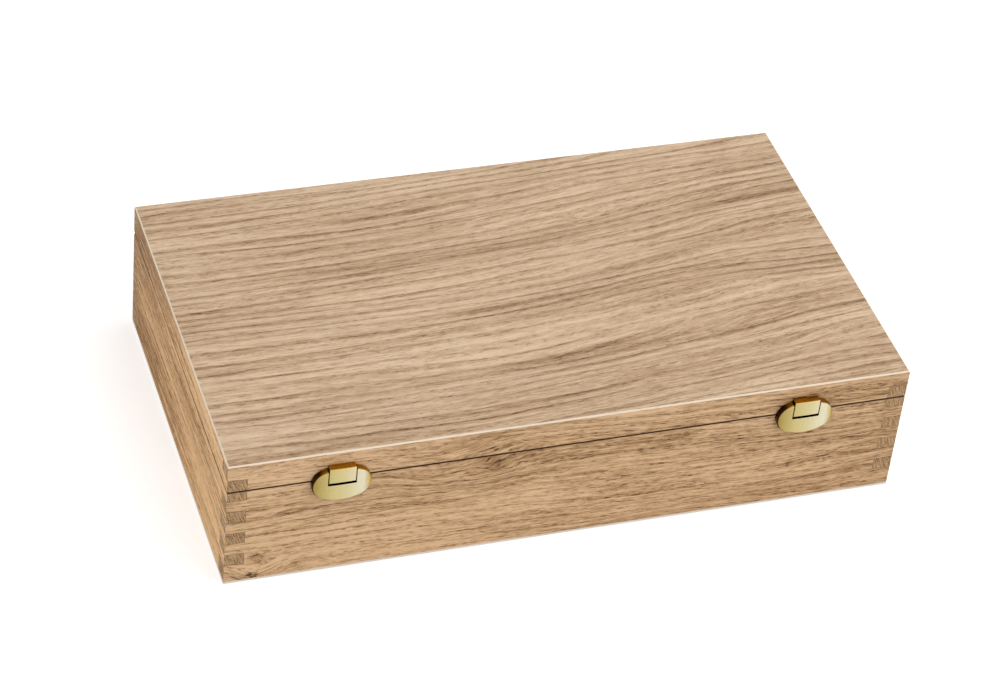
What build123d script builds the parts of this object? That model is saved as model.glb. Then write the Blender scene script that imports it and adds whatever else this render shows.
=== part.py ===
"""Oak box for coloured pencils: finger-jointed body and lid, two hinges, two oval clasps, two trays."""

import os
from math import radians, tan

from build123d import *

os.makedirs("parts", exist_ok=True)

# Case: millimetres, origin at the middle of the underside, front towards -Y
CASE_LENGTH = 425.0
CASE_DEPTH = 248.0
BOARD = 12.0
PANEL = 3.0
SEAM = 73.1
CASE_HEIGHT = 93.0
TOP_CHAMFER = 0.8
BOTTOM_CHAMFER = 0.6
SHADOW_GAP = 0.5
SHADOW_WIDTH = 5.0
FRONT_FACE = -CASE_DEPTH / 2
BACK_FACE = CASE_DEPTH / 2

# Heights at which the corner fingers change from one board to the other, starting with the long boards
BODY_FINGERS = [PANEL, 15.0, 23.5, 32.0, 40.5, 49.0, 57.5, 66.0, SEAM]
LID_FINGERS = [CASE_HEIGHT - PANEL, 82.0, SEAM]

# Hinges: knuckles half sunk in the back, and slanting faces behind them that stop the lid
HINGE_X = 145.0
HINGE_Y = 122.0
HINGE_LENGTH = 45.0
KNUCKLE_RADIUS = 2.2
KNUCKLE_GAP = 0.2
KNUCKLES = 5
POCKET_RADIUS = 2.5
HINGE_PIN_RADIUS = 1.0
FIXED_BORE_RADIUS = 1.02
TURNING_BORE_RADIUS = 1.06
LEAF = 1.2
LEAF_FROM_SEAM = 0.2
LEAF_FRONT = 113.0
LEAF_BACK = 120.8
STOP_ANGLE = 48.3
SCREW_Y = 116.2
SCREW_SPACING = 15.0
SCREW_HEAD_RADIUS = 1.9
SCREW_SHANK_RADIUS = 0.9
SCREW_LENGTH = 9.0
SCREW_HOLE_RADIUS = 0.95
SCREW_PLAY = 0.1

# Clasps: an oval lever on the body that covers a hooked strike on the lid
CLASP_X = 145.0
CLASP_Z = 71.7
OVAL_HALF_WIDTH = 18.0
OVAL_HALF_HEIGHT = 12.0
OVAL_END_RADIUS = 10.5
OVAL_SIDE_RADIUS = 30.0
CLASP_PROUD = 5.0
OVAL_WALL = 0.9
LEVER_REAR = 0.5
LEVER_FACE = 1.8
DOME_RADIUS = 230.0
RIM_FILLET = 1.0
NOTCH_HALF_WIDTH = 8.7
NOTCH_BOTTOM = 71.8
PIVOT_Y = FRONT_FACE - 1.9
PIVOT_Z = 62.4
PIVOT_RADIUS = 0.5
PIVOT_PLAY = 0.06
PIVOT_GRIP = 0.02
LUG_RADIUS = 0.9
LUG_WIDTH = 1.2
LEVER_LUG_X = 2.1
BASE_LUG_X = 3.7
LEVER_TILT = 15.0
BASE_PLATE = 0.6
BASE_INSET = 3.0
BASE_TOP = 70.4
STRIKE_HALF_WIDTH = 8.0
STRIKE_BOTTOM = 73.7
STRIKE_TOP = 84.2
EAR_REACH = 11.0
EAR_THICKNESS = 0.8
EAR_HEIGHT = 3.0
EAR_TOP = 79.6
EAR_GAP = 0.4
RIVET_RADIUS = 0.8
RIVET_HOLE_RADIUS = 0.85
RIVET_HEAD_RADIUS = 1.6
RIVET_HEAD = 0.6
CLENCH_RADIUS = 1.9
CLENCH_DEPTH = 0.8
CLENCH_PLAY = 0.1
BASE_RIVET_X = 7.0
BASE_RIVET_Z = 67.6
STRIKE_RIVET_X = 4.0
STRIKE_RIVET_Z = 79.0
SPRING_WIRE = 0.3
SPRING_RADIUS = 1.02
SPRING_TURNS = 5.5
SPRING_PITCH = 0.4
SPRING_LEG = 6.0

# Trays: plywood bottoms and thin boards, a grooved foam bed and a trough along the front
TRAY_GAP = 0.6
TRAY_LENGTH = CASE_LENGTH - 2 * BOARD - 2 * TRAY_GAP
TRAY_DEPTH = CASE_DEPTH - 2 * BOARD - 2 * TRAY_GAP
TRAY_HEIGHT = 34.0
TRAY_BOARD = 5.0
TRAY_BOTTOM = 2.5
TROUGH_WIDTH = 29.0
DIVIDER = 4.0
DIVIDER_HEIGHT = 29.0
BED_END_GAP = 0.9
FOAM_TOP = 26.5
PENCIL_AXIS = 27.5
GROOVE_RADIUS = 4.3
PENCILS = 38
PENCIL_LENGTH = 175.0
PENCIL_CORNER_RADIUS = 4.0
SHARPENED = 20.0
LEAD_RADIUS = 0.6
RIBBON_WIDTH = 16.0
RIBBON = 0.8
RIBBON_REACH = 45.0
RIBBON_FOOT = 20.0
RIBBON_OVER_PENCILS = 32.2
LOWER_TRAY_Z = PANEL
UPPER_TRAY_Z = LOWER_TRAY_Z + TRAY_HEIGHT
PAD = 3.0
PAD_GAP = 0.6

INSIDE_LENGTH = TRAY_LENGTH - 2 * TRAY_BOARD
TRAY_INNER_FRONT = -TRAY_DEPTH / 2 + TRAY_BOARD
DIVIDER_FRONT = TRAY_INNER_FRONT + TROUGH_WIDTH
BED_FRONT = DIVIDER_FRONT + DIVIDER
BED_BACK = TRAY_DEPTH / 2 - TRAY_BOARD
BED_MIDDLE = (BED_FRONT + BED_BACK) / 2


def finish(piece, name):
    """Names the piece and writes it to its own file."""
    piece.label = name
    export_step(piece, f"parts/{name}.step")


def bands(edges, first):
    """Pairs of heights between neighbouring finger edges, every other one, from the given one."""
    pairs = [sorted(pair) for pair in zip(edges, edges[1:])]
    return pairs[first::2]


def cut_corners(blank, edges, first):
    """Takes the four corners of the case out of a board, at every other band of heights."""
    with BuildPart() as board:
        add(blank)
        for low, high in bands(edges, first):
            with BuildSketch(Plane.XY.offset(low)):
                with GridLocations(CASE_LENGTH - BOARD, CASE_DEPTH - BOARD, 2, 2):
                    Rectangle(BOARD, BOARD)
            extrude(amount=high - low, mode=Mode.SUBTRACT)
        add(shadow_gap, mode=Mode.SUBTRACT)
    return board.part


def long_board(side, edges):
    """A front (side -1) or back (side 1) board of full length, which has the first fingers."""
    with BuildPart() as board:
        with BuildSketch(Plane.XY.offset(min(edges))):
            with Locations((0, side * (CASE_DEPTH - BOARD) / 2)):
                Rectangle(CASE_LENGTH, BOARD)
        extrude(amount=max(edges) - min(edges))
    return cut_corners(board.part, edges, 1)


def short_board(side, edges):
    """A left (side -1) or right (side 1) board, with the fingers between those of the long boards."""
    with BuildPart() as board:
        with BuildSketch(Plane.XY.offset(min(edges))):
            with Locations((side * (CASE_LENGTH - BOARD) / 2, 0)):
                Rectangle(BOARD, CASE_DEPTH)
        extrude(amount=max(edges) - min(edges))
    return cut_corners(board.part, edges, 0)


# Groove round the outside of the seam, cut half from the body and half from the lid
with BuildPart() as shadow_gap:
    with BuildSketch(Plane.XY.offset(SEAM - SHADOW_GAP)):
        Rectangle(CASE_LENGTH, CASE_DEPTH)
        Rectangle(CASE_LENGTH - 2 * SHADOW_WIDTH, CASE_DEPTH - 2 * SHADOW_WIDTH, mode=Mode.SUBTRACT)
    extrude(amount=2 * SHADOW_GAP)
shadow_gap = shadow_gap.part

# Wedge behind the hinge line, whose faces meet on the pin's axis
stop_drop = (BACK_FACE - HINGE_Y) * tan(radians(STOP_ANGLE))
with BuildPart() as stop_wedge:
    with BuildSketch(Plane.YZ):
        with BuildLine():
            Polyline(
                (HINGE_Y, SEAM),
                (BACK_FACE, SEAM - stop_drop),
                (BACK_FACE, SEAM + stop_drop),
                close=True,
            )
        make_face()
    extrude(amount=CASE_LENGTH / 2, both=True)
stop_wedge = stop_wedge.part


def leaf_blank(x, side):
    """The flat plate of a hinge leaf, in the body (side -1) or in the lid (side 1)."""
    with BuildPart() as plate:
        with BuildSketch(Plane.XY.offset(SEAM + side * LEAF_FROM_SEAM)):
            with Locations((x, (LEAF_FRONT + LEAF_BACK) / 2)):
                Rectangle(HINGE_LENGTH, LEAF_BACK - LEAF_FRONT)
        extrude(amount=side * LEAF)
    return plate.part


def hinge_recess(x, side):
    """The space that a leaf, its knuckles and its screws take out of a back board."""
    with BuildPart() as recess:
        with BuildSketch(Plane.XY.offset(SEAM)):
            with Locations((x, (LEAF_FRONT + LEAF_BACK) / 2)):
                Rectangle(HINGE_LENGTH, LEAF_BACK - LEAF_FRONT)
        extrude(amount=side * (LEAF + LEAF_FROM_SEAM))
        with BuildSketch(Plane.YZ.offset(x)):
            with Locations((HINGE_Y, SEAM)):
                Circle(POCKET_RADIUS)
        extrude(amount=HINGE_LENGTH / 2 + KNUCKLE_GAP, both=True)
        with BuildSketch(Plane.XY.offset(SEAM)):
            with Locations((x, SCREW_Y)):
                with GridLocations(SCREW_SPACING, 1, 3, 1):
                    Circle(SCREW_HOLE_RADIUS)
        extrude(amount=side * (SCREW_LENGTH + LEAF))
    return recess.part


def knuckle_places(x, first):
    """Middles of every other knuckle along the hinge, from the given one."""
    pitch = HINGE_LENGTH / KNUCKLES
    start = x - HINGE_LENGTH / 2 + pitch / 2
    return [start + pitch * index for index in range(first, KNUCKLES, 2)]


def hinge_leaf(x, side, first, bore_radius):
    """A hinge leaf with its own knuckles, cut back round the other leaf's, and three sunk holes."""
    knuckle_length = HINGE_LENGTH / KNUCKLES
    with BuildPart() as leaf:
        add(leaf_blank(x, side))
        for place in knuckle_places(x, 1 - first):
            with BuildSketch(Plane.YZ.offset(place)):
                with Locations((HINGE_Y, SEAM)):
                    Circle(POCKET_RADIUS)
            extrude(amount=knuckle_length / 2, both=True, mode=Mode.SUBTRACT)
        for place in knuckle_places(x, first):
            with BuildSketch(Plane.YZ.offset(place)):
                with Locations((HINGE_Y, SEAM)):
                    Circle(KNUCKLE_RADIUS)
            extrude(amount=(knuckle_length - KNUCKLE_GAP) / 2, both=True)
        with BuildSketch(Plane.YZ.offset(x)):
            with Locations((HINGE_Y, SEAM)):
                Circle(bore_radius)
        extrude(amount=HINGE_LENGTH, both=True, mode=Mode.SUBTRACT)
        surface = Plane.XY.offset(SEAM + side * LEAF_FROM_SEAM)
        if side > 0:
            surface = surface.rotated((180, 0, 0))
        with Locations(surface):
            with Locations((x, -side * SCREW_Y)):
                with GridLocations(SCREW_SPACING, 1, 3, 1):
                    CounterSinkHole(
                        SCREW_HOLE_RADIUS + SCREW_PLAY,
                        SCREW_HEAD_RADIUS + SCREW_PLAY,
                        depth=2 * LEAF,
                        counter_sink_angle=90,
                    )
    return leaf.part


def hinge_screws(side):
    """Six countersunk screws that hold the leaves of both hinges in the body or in the lid."""
    head = SCREW_HEAD_RADIUS - SCREW_SHANK_RADIUS
    with BuildPart() as one_screw:
        with BuildSketch(Plane.XZ):
            with BuildLine():
                Polyline(
                    (0, 0),
                    (SCREW_HEAD_RADIUS, 0),
                    (SCREW_SHANK_RADIUS, -head),
                    (SCREW_SHANK_RADIUS, 2 * head - SCREW_LENGTH),
                    (0, -SCREW_LENGTH),
                    close=True,
                )
            make_face()
        revolve(axis=Axis.Z)
        Box(2 * SCREW_HEAD_RADIUS, head / 2, head, mode=Mode.SUBTRACT)
    top = SEAM + side * (LEAF_FROM_SEAM + SCREW_PLAY / 2)
    turn = 180 if side > 0 else 0
    places = [
        Location((hinge + step * SCREW_SPACING, SCREW_Y, top), (turn, 0, 0))
        for hinge in (-HINGE_X, HINGE_X)
        for step in (-1, 0, 1)
    ]
    with BuildPart() as screws:
        with Locations(*places):
            add(one_screw.part)
    return screws.part


def hinge_pin(x):
    """The straight pin through the five knuckles."""
    with BuildPart() as pin:
        with BuildSketch(Plane.YZ.offset(x)):
            with Locations((HINGE_Y, SEAM)):
                Circle(HINGE_PIN_RADIUS)
        extrude(amount=(HINGE_LENGTH - KNUCKLE_GAP) / 2, both=True)
    return pin.part


def rivet_places(x_step, z):
    """Where the rivets cross the front face, on both clasps."""
    return [(side * CLASP_X + step * x_step, z) for side in (-1, 1) for step in (-1, 1)]


def rivet_holes(x_step, z):
    """Holes through a front board, with a shallow counterbore inside for the clenched ends."""
    with BuildPart() as holes:
        with BuildSketch(Plane.XZ.offset(-FRONT_FACE)):
            with Locations(*rivet_places(x_step, z)):
                Circle(RIVET_HOLE_RADIUS)
        extrude(amount=-BOARD)
        with BuildSketch(Plane.XZ.offset(-FRONT_FACE - BOARD)):
            with Locations(*rivet_places(x_step, z)):
                Circle(CLENCH_RADIUS + CLENCH_PLAY)
        extrude(amount=CLENCH_DEPTH)
    return holes.part


def rivets(x_step, z):
    """Four rivets: a flat head on the brass, a shank through the board and a clenched end inside."""
    with BuildPart() as group:
        with BuildSketch(Plane.XZ.offset(-FRONT_FACE + BASE_PLATE)):
            with Locations(*rivet_places(x_step, z)):
                Circle(RIVET_HEAD_RADIUS)
        extrude(amount=RIVET_HEAD)
        with BuildSketch(Plane.XZ.offset(-FRONT_FACE + BASE_PLATE)):
            with Locations(*rivet_places(x_step, z)):
                Circle(RIVET_RADIUS)
        extrude(amount=-BOARD - BASE_PLATE)
        with BuildSketch(Plane.XZ.offset(-FRONT_FACE - BOARD)):
            with Locations(*rivet_places(x_step, z)):
                Circle(CLENCH_RADIUS)
        extrude(amount=CLENCH_DEPTH)
    return group.part


def oval(inset):
    """The clasps' outline, drawn smaller by the inset: four arcs that meet smoothly."""
    half_width = OVAL_HALF_WIDTH - inset
    half_height = OVAL_HALF_HEIGHT - inset
    centres_apart = OVAL_SIDE_RADIUS - OVAL_END_RADIUS
    end_centre = OVAL_HALF_WIDTH - OVAL_END_RADIUS
    side_centre = OVAL_SIDE_RADIUS - OVAL_HALF_HEIGHT
    meet_x = (OVAL_SIDE_RADIUS - inset) * end_centre / centres_apart
    meet_z = (OVAL_SIDE_RADIUS - inset) * side_centre / centres_apart - side_centre
    with BuildSketch() as outline:
        with BuildLine():
            ThreePointArc((-meet_x, meet_z), (0, half_height), (meet_x, meet_z))
            ThreePointArc((meet_x, meet_z), (half_width, 0), (meet_x, -meet_z))
            ThreePointArc((meet_x, -meet_z), (0, -half_height), (-meet_x, -meet_z))
            ThreePointArc((-meet_x, -meet_z), (-half_width, 0), (-meet_x, meet_z))
        make_face()
    return outline.sketch


def clasp_dome(x):
    """A wide upright drum whose front gives the lever and the strike their common curve."""
    with BuildPart() as dome:
        with BuildSketch(Plane.XY.offset(CLASP_Z - 2 * OVAL_HALF_HEIGHT)):
            with Locations((x, FRONT_FACE - CLASP_PROUD + DOME_RADIUS)):
                Circle(DOME_RADIUS)
        extrude(amount=4 * OVAL_HALF_HEIGHT)
    return dome.part


def pivot_cylinders(x, places, radius):
    """Short cylinders on the pivot's axis, as wide as a lug, at each place and its mirror place."""
    with BuildPart() as group:
        for place in (-places, places):
            with BuildSketch(Plane.YZ.offset(x + place)):
                with Locations((PIVOT_Y, PIVOT_Z)):
                    Circle(radius)
            extrude(amount=LUG_WIDTH / 2, both=True)
    return group.part


def clasp_lever(x):
    """The oval cover: a shallow shell with a notch at its top and two lugs near its bottom."""
    rear = -FRONT_FACE + LEVER_REAR
    front = -FRONT_FACE + CLASP_PROUD
    inner_face = front - LEVER_FACE
    lean = tan(radians(LEVER_TILT + 1))
    with BuildPart() as lever:
        with BuildSketch(Plane.XZ.offset(rear)):
            with Locations((x, CLASP_Z)):
                add(oval(0))
        extrude(amount=front - rear)
        add(clasp_dome(x), mode=Mode.INTERSECT)
        fillet(lever.edges().group_by(Axis.Y)[0], RIM_FILLET)
        with BuildSketch(Plane.XZ.offset(rear)):
            with Locations((x, CLASP_Z)):
                add(oval(OVAL_WALL))
        extrude(amount=inner_face - rear, mode=Mode.SUBTRACT)
        with BuildSketch(Plane.XZ.offset(rear)):
            with Locations((x, NOTCH_BOTTOM)):
                Rectangle(2 * NOTCH_HALF_WIDTH, OVAL_HALF_HEIGHT + 1, align=(Align.CENTER, Align.MIN))
        extrude(amount=CLASP_PROUD, mode=Mode.SUBTRACT)
        with BuildSketch(Plane.YZ.offset(x)):
            with BuildLine():
                Polyline(
                    (-rear, PIVOT_Z),
                    (-rear - lean * OVAL_HALF_HEIGHT, PIVOT_Z - OVAL_HALF_HEIGHT),
                    (-rear, PIVOT_Z - OVAL_HALF_HEIGHT),
                    close=True,
                )
            make_face()
        extrude(amount=OVAL_HALF_WIDTH, both=True, mode=Mode.SUBTRACT)
        for place in (-LEVER_LUG_X, LEVER_LUG_X):
            with BuildSketch(Plane.YZ.offset(x + place)):
                with Locations((PIVOT_Y, PIVOT_Z)):
                    Circle(LUG_RADIUS)
                    Rectangle(
                        inner_face + PIVOT_Y + LUG_RADIUS / 2,
                        2 * LUG_RADIUS,
                        align=(Align.MAX, Align.CENTER),
                    )
            extrude(amount=LUG_WIDTH / 2, both=True)
        add(pivot_cylinders(x, LEVER_LUG_X, PIVOT_RADIUS + PIVOT_PLAY), mode=Mode.SUBTRACT)
    return lever.part


def clasp_base(x):
    """The plate under the lever, riveted to the front board, with two lugs for the pivot pin."""
    plate_face = -FRONT_FACE + BASE_PLATE
    with BuildPart() as base:
        with BuildSketch(Plane.XZ.offset(-FRONT_FACE)):
            with Locations((x, CLASP_Z)):
                add(oval(BASE_INSET))
            with Locations((x, BASE_TOP)):
                Rectangle(
                    2 * OVAL_HALF_WIDTH,
                    2 * OVAL_HALF_HEIGHT,
                    align=(Align.CENTER, Align.MIN),
                    mode=Mode.SUBTRACT,
                )
            with Locations(*[(x + step * BASE_RIVET_X, BASE_RIVET_Z) for step in (-1, 1)]):
                Circle(RIVET_HOLE_RADIUS, mode=Mode.SUBTRACT)
        extrude(amount=BASE_PLATE)
        for place in (-BASE_LUG_X, BASE_LUG_X):
            with BuildSketch(Plane.YZ.offset(x + place)):
                with Locations((PIVOT_Y, PIVOT_Z)):
                    Circle(LUG_RADIUS)
                with Locations((-plate_face + BASE_PLATE / 2, PIVOT_Z + LUG_RADIUS / 2)):
                    Rectangle(
                        -PIVOT_Y - plate_face + BASE_PLATE / 2,
                        LUG_RADIUS * 3,
                        align=(Align.MAX, Align.CENTER),
                    )
            extrude(amount=LUG_WIDTH / 2, both=True)
        add(pivot_cylinders(x, BASE_LUG_X, PIVOT_RADIUS + PIVOT_GRIP), mode=Mode.SUBTRACT)
    return base.part


def clasp_pin(x):
    """The lever's pivot pin."""
    with BuildPart() as pin:
        with BuildSketch(Plane.YZ.offset(x)):
            with Locations((PIVOT_Y, PIVOT_Z)):
                Circle(PIVOT_RADIUS)
        extrude(amount=BASE_LUG_X + LUG_WIDTH / 2, both=True)
    return pin.part


def clasp_spring(x):
    """A torsion spring round the pin, with one leg on the base and the other behind the lever."""
    height = SPRING_TURNS * SPRING_PITCH
    with BuildPart() as coil:
        with BuildLine() as path:
            Helix(SPRING_PITCH, height, SPRING_RADIUS, center=(0, 0, -height / 2))
        with BuildSketch(Plane(origin=path.line @ 0, z_dir=path.line % 0)):
            Circle(SPRING_WIRE / 2)
        sweep(is_frenet=True)
        for end in (path.line @ 0, path.line @ 1):
            with BuildSketch(Plane(origin=(end.X, 0, end.Z), z_dir=(0, 1, 0))):
                Circle(SPRING_WIRE / 2)
            extrude(amount=SPRING_LEG)
    turned = Plane(origin=(x, PIVOT_Y, PIVOT_Z), x_dir=(0, 1, 0), z_dir=(1, 0, 0))
    with BuildPart() as spring:
        with Locations(turned):
            add(coil.part)
    return spring.part


def strike(x):
    """The square tongue on the lid: a hollow box open at the bottom, with an ear on each side."""
    front = -FRONT_FACE + CLASP_PROUD
    height = STRIKE_TOP - STRIKE_BOTTOM
    with BuildPart() as tongue:
        with BuildSketch(Plane.XZ.offset(-FRONT_FACE)):
            with Locations((x, STRIKE_BOTTOM)):
                Rectangle(2 * STRIKE_HALF_WIDTH, height, align=(Align.CENTER, Align.MIN))
        extrude(amount=CLASP_PROUD)
        add(clasp_dome(x), mode=Mode.INTERSECT)
        fillet(tongue.edges().group_by(Axis.Y)[0].sort_by(Axis.Z)[-1], RIM_FILLET / 2)
        with BuildSketch(Plane.XZ.offset(-FRONT_FACE + BASE_PLATE)):
            with Locations((x, STRIKE_BOTTOM)):
                Rectangle(
                    2 * (STRIKE_HALF_WIDTH - OVAL_WALL), height - OVAL_WALL, align=(Align.CENTER, Align.MIN)
                )
        extrude(amount=CLASP_PROUD - BASE_PLATE - OVAL_WALL, mode=Mode.SUBTRACT)
        with BuildSketch(Plane.XZ.offset(front - LEVER_FACE - EAR_GAP)):
            for side in (-1, 1):
                with Locations((x + side * (STRIKE_HALF_WIDTH - OVAL_WALL), EAR_TOP)):
                    Rectangle(
                        EAR_REACH - STRIKE_HALF_WIDTH + OVAL_WALL,
                        EAR_HEIGHT,
                        align=(Align.MIN if side > 0 else Align.MAX, Align.MAX),
                    )
        extrude(amount=-EAR_THICKNESS)
        with BuildSketch(Plane.XZ.offset(-FRONT_FACE)):
            with Locations(*[(x + step * STRIKE_RIVET_X, STRIKE_RIVET_Z) for step in (-1, 1)]):
                Circle(RIVET_HOLE_RADIUS)
        extrude(amount=BASE_PLATE, mode=Mode.SUBTRACT)
    return tongue.part


# Bottom panel
with BuildPart() as bottom_panel:
    with BuildSketch():
        Rectangle(CASE_LENGTH, CASE_DEPTH)
    extrude(amount=PANEL)
    chamfer(bottom_panel.edges().group_by(Axis.Z)[0], BOTTOM_CHAMFER)
finish(bottom_panel.part, "bottom_panel")

# Top panel
with BuildPart() as top_panel:
    with BuildSketch(Plane.XY.offset(CASE_HEIGHT - PANEL)):
        Rectangle(CASE_LENGTH, CASE_DEPTH)
    extrude(amount=PANEL)
    chamfer(top_panel.edges().group_by(Axis.Z)[-1], TOP_CHAMFER)
finish(top_panel.part, "top_panel")

# Front boards, with the holes for the clasps' rivets
with BuildPart() as front_board:
    add(long_board(-1, BODY_FINGERS))
    add(rivet_holes(BASE_RIVET_X, BASE_RIVET_Z), mode=Mode.SUBTRACT)
finish(front_board.part, "front_board")

with BuildPart() as lid_front_board:
    add(long_board(-1, LID_FINGERS))
    add(rivet_holes(STRIKE_RIVET_X, STRIKE_RIVET_Z), mode=Mode.SUBTRACT)
finish(lid_front_board.part, "lid_front_board")

# Back boards, with the stop faces and the hinge recesses
with BuildPart() as back_board:
    add(long_board(1, BODY_FINGERS))
    add(stop_wedge, mode=Mode.SUBTRACT)
    for hinge_x in (-HINGE_X, HINGE_X):
        add(hinge_recess(hinge_x, -1), mode=Mode.SUBTRACT)
finish(back_board.part, "back_board")

with BuildPart() as lid_back_board:
    add(long_board(1, LID_FINGERS))
    add(stop_wedge, mode=Mode.SUBTRACT)
    for hinge_x in (-HINGE_X, HINGE_X):
        add(hinge_recess(hinge_x, 1), mode=Mode.SUBTRACT)
finish(lid_back_board.part, "lid_back_board")

# Left and right boards, whose fingers end in the stop faces at the back
for board_name, board_side in (("left", -1), ("right", 1)):
    with BuildPart() as side_board:
        add(short_board(board_side, BODY_FINGERS))
        add(stop_wedge, mode=Mode.SUBTRACT)
    finish(side_board.part, f"{board_name}_board")
    with BuildPart() as lid_side_board:
        add(short_board(board_side, LID_FINGERS))
        add(stop_wedge, mode=Mode.SUBTRACT)
    finish(lid_side_board.part, f"lid_{board_name}_board")

# Pad under the top panel
with BuildPart() as lid_pad:
    with BuildSketch(Plane.XY.offset(CASE_HEIGHT - PANEL)):
        Rectangle(CASE_LENGTH - 2 * (BOARD + PAD_GAP), CASE_DEPTH - 2 * (BOARD + PAD_GAP))
    extrude(amount=-PAD)
finish(lid_pad.part, "lid_pad")

# Hinges and clasps, one of each at the left and at the right
for place_name, place_side in (("left", -1), ("right", 1)):
    hinge_x = place_side * HINGE_X
    clasp_x = place_side * CLASP_X
    finish(hinge_leaf(hinge_x, -1, 0, FIXED_BORE_RADIUS), f"{place_name}_hinge_body_leaf")
    finish(hinge_leaf(hinge_x, 1, 1, TURNING_BORE_RADIUS), f"{place_name}_hinge_lid_leaf")
    finish(hinge_pin(hinge_x), f"{place_name}_hinge_pin")
    finish(clasp_lever(clasp_x), f"{place_name}_clasp_lever")
    finish(clasp_base(clasp_x), f"{place_name}_clasp_base")
    finish(clasp_pin(clasp_x), f"{place_name}_clasp_pin")
    finish(clasp_spring(clasp_x), f"{place_name}_clasp_spring")
    finish(strike(clasp_x), f"{place_name}_strike")
finish(hinge_screws(-1), "hinge_body_screws")
finish(hinge_screws(1), "hinge_lid_screws")
finish(rivets(BASE_RIVET_X, BASE_RIVET_Z), "clasp_rivets")
finish(rivets(STRIKE_RIVET_X, STRIKE_RIVET_Z), "strike_rivets")

# One pencil, lying along Y with its point to the back
with BuildPart() as pencil:
    with BuildSketch(Plane.XZ.offset(-BED_MIDDLE)):
        RegularPolygon(PENCIL_CORNER_RADIUS, 6)
    extrude(amount=PENCIL_LENGTH / 2, both=True)
    with BuildSketch(Plane.XY) as turned_shape:
        with BuildLine():
            Polyline(
                (0, BED_MIDDLE - PENCIL_LENGTH / 2),
                (PENCIL_CORNER_RADIUS, BED_MIDDLE - PENCIL_LENGTH / 2),
                (PENCIL_CORNER_RADIUS, BED_MIDDLE + PENCIL_LENGTH / 2 - SHARPENED),
                (LEAD_RADIUS, BED_MIDDLE + PENCIL_LENGTH / 2),
                (0, BED_MIDDLE + PENCIL_LENGTH / 2),
                close=True,
            )
        make_face()
    revolve(axis=Axis.Y, mode=Mode.INTERSECT)
pencil = pencil.part
pencil_pitch = INSIDE_LENGTH / PENCILS


def box_between(x_range, y_range, z_range):
    """A plain block between two corners."""
    with BuildPart() as block:
        with BuildSketch(Plane.XY.offset(z_range[0])):
            with Locations(((x_range[0] + x_range[1]) / 2, (y_range[0] + y_range[1]) / 2)):
                Rectangle(x_range[1] - x_range[0], y_range[1] - y_range[0])
        extrude(amount=z_range[1] - z_range[0])
    return block.part


def tray(level, floor):
    """The pieces of one tray: bottom, four boards, divider, grooved foam and pencils."""
    half_length = TRAY_LENGTH / 2
    half_depth = TRAY_DEPTH / 2
    inner = half_length - TRAY_BOARD
    walls = (floor + TRAY_BOTTOM, floor + TRAY_HEIGHT)
    full = (-half_length, half_length)
    finish(box_between(full, (-half_depth, half_depth), (floor, walls[0])), f"{level}_tray_bottom")
    finish(box_between(full, (-half_depth, TRAY_INNER_FRONT), walls), f"{level}_tray_front")
    finish(box_between(full, (BED_BACK, half_depth), walls), f"{level}_tray_back")
    ends = (TRAY_INNER_FRONT, BED_BACK)
    finish(box_between((-half_length, -inner), ends, walls), f"{level}_tray_left")
    finish(box_between((inner, half_length), ends, walls), f"{level}_tray_right")
    divider_heights = (walls[0], floor + DIVIDER_HEIGHT)
    finish(
        box_between((-inner, inner), (DIVIDER_FRONT, BED_FRONT), divider_heights), f"{level}_tray_divider"
    )
    with BuildPart() as foam:
        with BuildSketch(Plane.XZ.offset(-BED_MIDDLE)):
            with Locations((0, floor + FOAM_TOP)):
                Rectangle(
                    INSIDE_LENGTH - 2 * BED_END_GAP, FOAM_TOP - TRAY_BOTTOM, align=(Align.CENTER, Align.MAX)
                )
            with Locations((0, floor + PENCIL_AXIS)):
                with GridLocations(pencil_pitch, 1, PENCILS, 1):
                    Circle(GROOVE_RADIUS, mode=Mode.SUBTRACT)
        extrude(amount=(BED_BACK - BED_FRONT) / 2, both=True)
    finish(foam.part, f"{level}_tray_foam")
    with BuildPart() as pencils:
        with Locations((0, 0, floor + PENCIL_AXIS)):
            with GridLocations(pencil_pitch, 1, PENCILS, 1):
                add(pencil)
    finish(pencils.part, f"{level}_pencils")


def lifting_ribbon(side):
    """A bent strip: up the inside of the upper tray's end board, then flat over the pencils."""
    wall = TRAY_LENGTH / 2 - TRAY_BOARD
    top = UPPER_TRAY_Z + RIBBON_OVER_PENCILS
    with BuildPart() as ribbon:
        with BuildSketch(Plane.XZ.offset(-BED_MIDDLE)):
            with BuildLine():
                Polyline(
                    (side * wall, UPPER_TRAY_Z + RIBBON_FOOT),
                    (side * wall, top),
                    (side * (wall - RIBBON_REACH), top),
                    (side * (wall - RIBBON_REACH), top - RIBBON),
                    (side * (wall - RIBBON), top - RIBBON),
                    (side * (wall - RIBBON), UPPER_TRAY_Z + RIBBON_FOOT),
                    close=True,
                )
            make_face()
        extrude(amount=RIBBON_WIDTH / 2, both=True)
    return ribbon.part


tray("lower", LOWER_TRAY_Z)
tray("upper", UPPER_TRAY_Z)
finish(lifting_ribbon(-1), "left_lifting_ribbon")
finish(lifting_ribbon(1), "right_lifting_ribbon")
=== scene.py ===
"""Looks of an oak box for coloured pencils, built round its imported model."""

import math
from typing import Callable, NamedTuple

import bpy
import numpy as np
from mathutils import Matrix, Vector


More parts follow.
